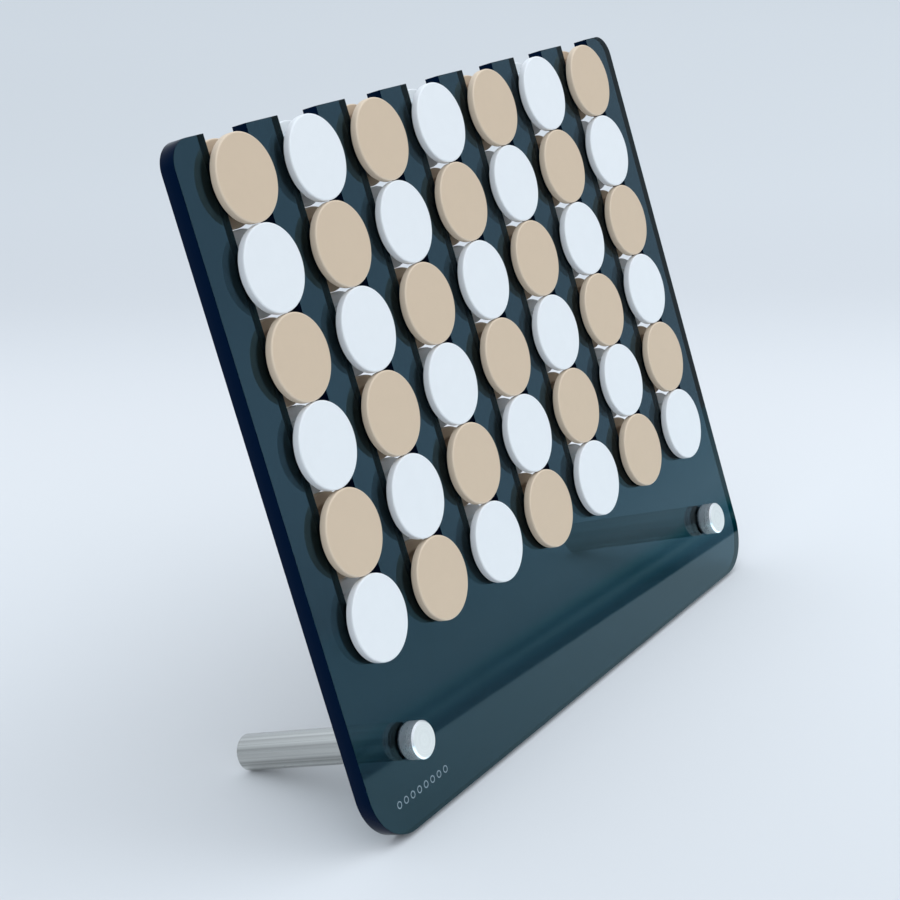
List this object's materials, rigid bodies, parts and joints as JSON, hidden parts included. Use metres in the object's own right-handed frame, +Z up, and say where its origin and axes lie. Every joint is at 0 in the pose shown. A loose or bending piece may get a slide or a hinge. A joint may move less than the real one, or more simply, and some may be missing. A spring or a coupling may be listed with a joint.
{
  "type": "four in a row frame",
  "caption": "Leaning slotted game board on standoff legs, filled with tan and white spool-shaped playing pieces that slide in its open-topped slots.",
  "frame": {"origin": "on the table, under the middle of the whole object's box", "axes": "+X to the right as seen from the front, -Y out of the front of the board, +Z up; the board leans back 18 degrees towards +Y"},
  "size_m": [0.293, 0.0816, 0.2282],
  "materials": {
    "board_gloss": "polished cast acrylic, blue-black",
    "brushed_metal": "brushed along the bar, turned on the cap face",
    "stud_steel": "plain threaded steel",
    "clear_nylon": "clear",
    "piece_tan": "matte",
    "piece_white": "matte"
  },
  "bodies": {
    "board": {"board_panel": "board_gloss", "leg_left_cap": "brushed_metal", "leg_left_stud": "stud_steel", "leg_left_front_washer": "clear_nylon", "leg_left_rear_washer": "clear_nylon", "leg_left_barrel": "brushed_metal", "leg_right_cap": "brushed_metal", "leg_right_stud": "stud_steel", "leg_right_front_washer": "clear_nylon", "leg_right_rear_washer": "clear_nylon", "leg_right_barrel": "brushed_metal"},
    "piece_c1_r1": {"white_piece_c1_r1": "piece_white"},
    "piece_c1_r2": {"tan_piece_c1_r2": "piece_tan"},
    "piece_c1_r3": {"white_piece_c1_r3": "piece_white"},
    "piece_c1_r4": {"tan_piece_c1_r4": "piece_tan"},
    "piece_c1_r5": {"white_piece_c1_r5": "piece_white"},
    "piece_c1_r6": {"tan_piece_c1_r6": "piece_tan"},
    "piece_c2_r1": {"tan_piece_c2_r1": "piece_tan"},
    "piece_c2_r2": {"white_piece_c2_r2": "piece_white"},
    "piece_c2_r3": {"tan_piece_c2_r3": "piece_tan"},
    "piece_c2_r4": {"white_piece_c2_r4": "piece_white"},
    "piece_c2_r5": {"tan_piece_c2_r5": "piece_tan"},
    "piece_c2_r6": {"white_piece_c2_r6": "piece_white"},
    "piece_c3_r1": {"white_piece_c3_r1": "piece_white"},
    "piece_c3_r2": {"tan_piece_c3_r2": "piece_tan"},
    "piece_c3_r3": {"white_piece_c3_r3": "piece_white"},
    "piece_c3_r4": {"tan_piece_c3_r4": "piece_tan"},
    "piece_c3_r5": {"white_piece_c3_r5": "piece_white"},
    "piece_c3_r6": {"tan_piece_c3_r6": "piece_tan"},
    "piece_c4_r1": {"tan_piece_c4_r1": "piece_tan"},
    "piece_c4_r2": {"white_piece_c4_r2": "piece_white"},
    "piece_c4_r3": {"tan_piece_c4_r3": "piece_tan"},
    "piece_c4_r4": {"white_piece_c4_r4": "piece_white"},
    "piece_c4_r5": {"tan_piece_c4_r5": "piece_tan"},
    "piece_c4_r6": {"white_piece_c4_r6": "piece_white"},
    "piece_c5_r1": {"white_piece_c5_r1": "piece_white"},
    "piece_c5_r2": {"tan_piece_c5_r2": "piece_tan"},
    "piece_c5_r3": {"white_piece_c5_r3": "piece_white"},
    "piece_c5_r4": {"tan_piece_c5_r4": "piece_tan"},
    "piece_c5_r5": {"white_piece_c5_r5": "piece_white"},
    "piece_c5_r6": {"tan_piece_c5_r6": "piece_tan"},
    "piece_c6_r1": {"tan_piece_c6_r1": "piece_tan"},
    "piece_c6_r2": {"white_piece_c6_r2": "piece_white"},
    "piece_c6_r3": {"tan_piece_c6_r3": "piece_tan"},
    "piece_c6_r4": {"white_piece_c6_r4": "piece_white"},
    "piece_c6_r5": {"tan_piece_c6_r5": "piece_tan"},
    "piece_c6_r6": {"white_piece_c6_r6": "piece_white"},
    "piece_c7_r1": {"white_piece_c7_r1": "piece_white"},
    "piece_c7_r2": {"tan_piece_c7_r2": "piece_tan"},
    "piece_c7_r3": {"white_piece_c7_r3": "piece_white"},
    "piece_c7_r4": {"tan_piece_c7_r4": "piece_tan"},
    "piece_c7_r5": {"white_piece_c7_r5": "piece_white"},
    "piece_c7_r6": {"tan_piece_c7_r6": "piece_tan"}
  },
  "joints": [
    {"name": "slide_c1_r1", "type": "slide", "parent": "board", "child": "piece_c1_r1", "axis": [0, 0.309, 0.9511], "range_m": [0, 0.177]},
    {"name": "slide_c1_r2", "type": "slide", "parent": "piece_c1_r1", "child": "piece_c1_r2", "axis": [0, 0.309, 0.9511], "range_m": [0, 0.147]},
    {"name": "slide_c1_r3", "type": "slide", "parent": "piece_c1_r2", "child": "piece_c1_r3", "axis": [0, 0.309, 0.9511], "range_m": [0, 0.117]},
    {"name": "slide_c1_r4", "type": "slide", "parent": "piece_c1_r3", "child": "piece_c1_r4", "axis": [0, 0.309, 0.9511], "range_m": [0, 0.087]},
    {"name": "slide_c1_r5", "type": "slide", "parent": "piece_c1_r4", "child": "piece_c1_r5", "axis": [0, 0.309, 0.9511], "range_m": [0, 0.057]},
    {"name": "slide_c1_r6", "type": "slide", "parent": "piece_c1_r5", "child": "piece_c1_r6", "axis": [0, 0.309, 0.9511], "range_m": [0, 0.027]},
    {"name": "slide_c2_r1", "type": "slide", "parent": "board", "child": "piece_c2_r1", "axis": [0, 0.309, 0.9511], "range_m": [0, 0.177]},
    {"name": "slide_c2_r2", "type": "slide", "parent": "piece_c2_r1", "child": "piece_c2_r2", "axis": [0, 0.309, 0.9511], "range_m": [0, 0.147]},
    {"name": "slide_c2_r3", "type": "slide", "parent": "piece_c2_r2", "child": "piece_c2_r3", "axis": [0, 0.309, 0.9511], "range_m": [0, 0.117]},
    {"name": "slide_c2_r4", "type": "slide", "parent": "piece_c2_r3", "child": "piece_c2_r4", "axis": [0, 0.309, 0.9511], "range_m": [0, 0.087]},
    {"name": "slide_c2_r5", "type": "slide", "parent": "piece_c2_r4", "child": "piece_c2_r5", "axis": [0, 0.309, 0.9511], "range_m": [0, 0.057]},
    {"name": "slide_c2_r6", "type": "slide", "parent": "piece_c2_r5", "child": "piece_c2_r6", "axis": [0, 0.309, 0.9511], "range_m": [0, 0.027]},
    {"name": "slide_c3_r1", "type": "slide", "parent": "board", "child": "piece_c3_r1", "axis": [0, 0.309, 0.9511], "range_m": [0, 0.177]},
    {"name": "slide_c3_r2", "type": "slide", "parent": "piece_c3_r1", "child": "piece_c3_r2", "axis": [0, 0.309, 0.9511], "range_m": [0, 0.147]},
    {"name": "slide_c3_r3", "type": "slide", "parent": "piece_c3_r2", "child": "piece_c3_r3", "axis": [0, 0.309, 0.9511], "range_m": [0, 0.117]},
    {"name": "slide_c3_r4", "type": "slide", "parent": "piece_c3_r3", "child": "piece_c3_r4", "axis": [0, 0.309, 0.9511], "range_m": [0, 0.087]},
    {"name": "slide_c3_r5", "type": "slide", "parent": "piece_c3_r4", "child": "piece_c3_r5", "axis": [0, 0.309, 0.9511], "range_m": [0, 0.057]},
    {"name": "slide_c3_r6", "type": "slide", "parent": "piece_c3_r5", "child": "piece_c3_r6", "axis": [0, 0.309, 0.9511], "range_m": [0, 0.027]},
    {"name": "slide_c4_r1", "type": "slide", "parent": "board", "child": "piece_c4_r1", "axis": [0, 0.309, 0.9511], "range_m": [0, 0.177]},
    {"name": "slide_c4_r2", "type": "slide", "parent": "piece_c4_r1", "child": "piece_c4_r2", "axis": [0, 0.309, 0.9511], "range_m": [0, 0.147]},
    {"name": "slide_c4_r3", "type": "slide", "parent": "piece_c4_r2", "child": "piece_c4_r3", "axis": [0, 0.309, 0.9511], "range_m": [0, 0.117]},
    {"name": "slide_c4_r4", "type": "slide", "parent": "piece_c4_r3", "child": "piece_c4_r4", "axis": [0, 0.309, 0.9511], "range_m": [0, 0.087]},
    {"name": "slide_c4_r5", "type": "slide", "parent": "piece_c4_r4", "child": "piece_c4_r5", "axis": [0, 0.309, 0.9511], "range_m": [0, 0.057]},
    {"name": "slide_c4_r6", "type": "slide", "parent": "piece_c4_r5", "child": "piece_c4_r6", "axis": [0, 0.309, 0.9511], "range_m": [0, 0.027]},
    {"name": "slide_c5_r1", "type": "slide", "parent": "board", "child": "piece_c5_r1", "axis": [0, 0.309, 0.9511], "range_m": [0, 0.177]},
    {"name": "slide_c5_r2", "type": "slide", "parent": "piece_c5_r1", "child": "piece_c5_r2", "axis": [0, 0.309, 0.9511], "range_m": [0, 0.147]},
    {"name": "slide_c5_r3", "type": "slide", "parent": "piece_c5_r2", "child": "piece_c5_r3", "axis": [0, 0.309, 0.9511], "range_m": [0, 0.117]},
    {"name": "slide_c5_r4", "type": "slide", "parent": "piece_c5_r3", "child": "piece_c5_r4", "axis": [0, 0.309, 0.9511], "range_m": [0, 0.087]},
    {"name": "slide_c5_r5", "type": "slide", "parent": "piece_c5_r4", "child": "piece_c5_r5", "axis": [0, 0.309, 0.9511], "range_m": [0, 0.057]},
    {"name": "slide_c5_r6", "type": "slide", "parent": "piece_c5_r5", "child": "piece_c5_r6", "axis": [0, 0.309, 0.9511], "range_m": [0, 0.027]},
    {"name": "slide_c6_r1", "type": "slide", "parent": "board", "child": "piece_c6_r1", "axis": [0, 0.309, 0.9511], "range_m": [0, 0.177]},
    {"name": "slide_c6_r2", "type": "slide", "parent": "piece_c6_r1", "child": "piece_c6_r2", "axis": [0, 0.309, 0.9511], "range_m": [0, 0.147]},
    {"name": "slide_c6_r3", "type": "slide", "parent": "piece_c6_r2", "child": "piece_c6_r3", "axis": [0, 0.309, 0.9511], "range_m": [0, 0.117]},
    {"name": "slide_c6_r4", "type": "slide", "parent": "piece_c6_r3", "child": "piece_c6_r4", "axis": [0, 0.309, 0.9511], "range_m": [0, 0.087]},
    {"name": "slide_c6_r5", "type": "slide", "parent": "piece_c6_r4", "child": "piece_c6_r5", "axis": [0, 0.309, 0.9511], "range_m": [0, 0.057]},
    {"name": "slide_c6_r6", "type": "slide", "parent": "piece_c6_r5", "child": "piece_c6_r6", "axis": [0, 0.309, 0.9511], "range_m": [0, 0.027]},
    {"name": "slide_c7_r1", "type": "slide", "parent": "board", "child": "piece_c7_r1", "axis": [0, 0.309, 0.9511], "range_m": [0, 0.177]},
    {"name": "slide_c7_r2", "type": "slide", "parent": "piece_c7_r1", "child": "piece_c7_r2", "axis": [0, 0.309, 0.9511], "range_m": [0, 0.147]},
    {"name": "slide_c7_r3", "type": "slide", "parent": "piece_c7_r2", "child": "piece_c7_r3", "axis": [0, 0.309, 0.9511], "range_m": [0, 0.117]},
    {"name": "slide_c7_r4", "type": "slide", "parent": "piece_c7_r3", "child": "piece_c7_r4", "axis": [0, 0.309, 0.9511], "range_m": [0, 0.087]},
    {"name": "slide_c7_r5", "type": "slide", "parent": "piece_c7_r4", "child": "piece_c7_r5", "axis": [0, 0.309, 0.9511], "range_m": [0, 0.057]},
    {"name": "slide_c7_r6", "type": "slide", "parent": "piece_c7_r5", "child": "piece_c7_r6", "axis": [0, 0.309, 0.9511], "range_m": [0, 0.027]}
  ]
}
